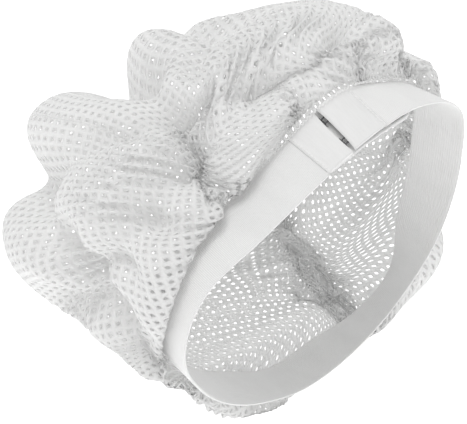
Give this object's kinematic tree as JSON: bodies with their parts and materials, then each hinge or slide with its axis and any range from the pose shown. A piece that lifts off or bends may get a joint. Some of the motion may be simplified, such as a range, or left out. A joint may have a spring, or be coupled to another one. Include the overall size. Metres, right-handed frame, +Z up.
{
  "type": "mesh hair bonnet",
  "caption": "Bouffant pouch of coarse white mesh gathered on a wide elastic band that closes with a hook and eye tape, resting on its side.",
  "frame": {"origin": "centre of the footprint on the surface that it rests on", "axes": "+Z up; the opening faces -Y and the pouch runs towards +Y, with the closure on top and the hook side of it towards +X"},
  "size_m": [0.236, 0.1544, 0.2016],
  "materials": {
    "mesh": "white knitted polyester mesh",
    "elastic": "white woven elastic with lengthwise ribs",
    "tape": "white brushed tape",
    "wire": "nickel plated wire"
  },
  "bodies": {
    "root": {"crown": "mesh", "band": "elastic", "hook_tape": "tape", "eye_tape": "tape", "hook_1": "wire", "hook_2": "wire", "eye_1": "wire", "eye_2": "wire"}
  },
  "joints": []
}
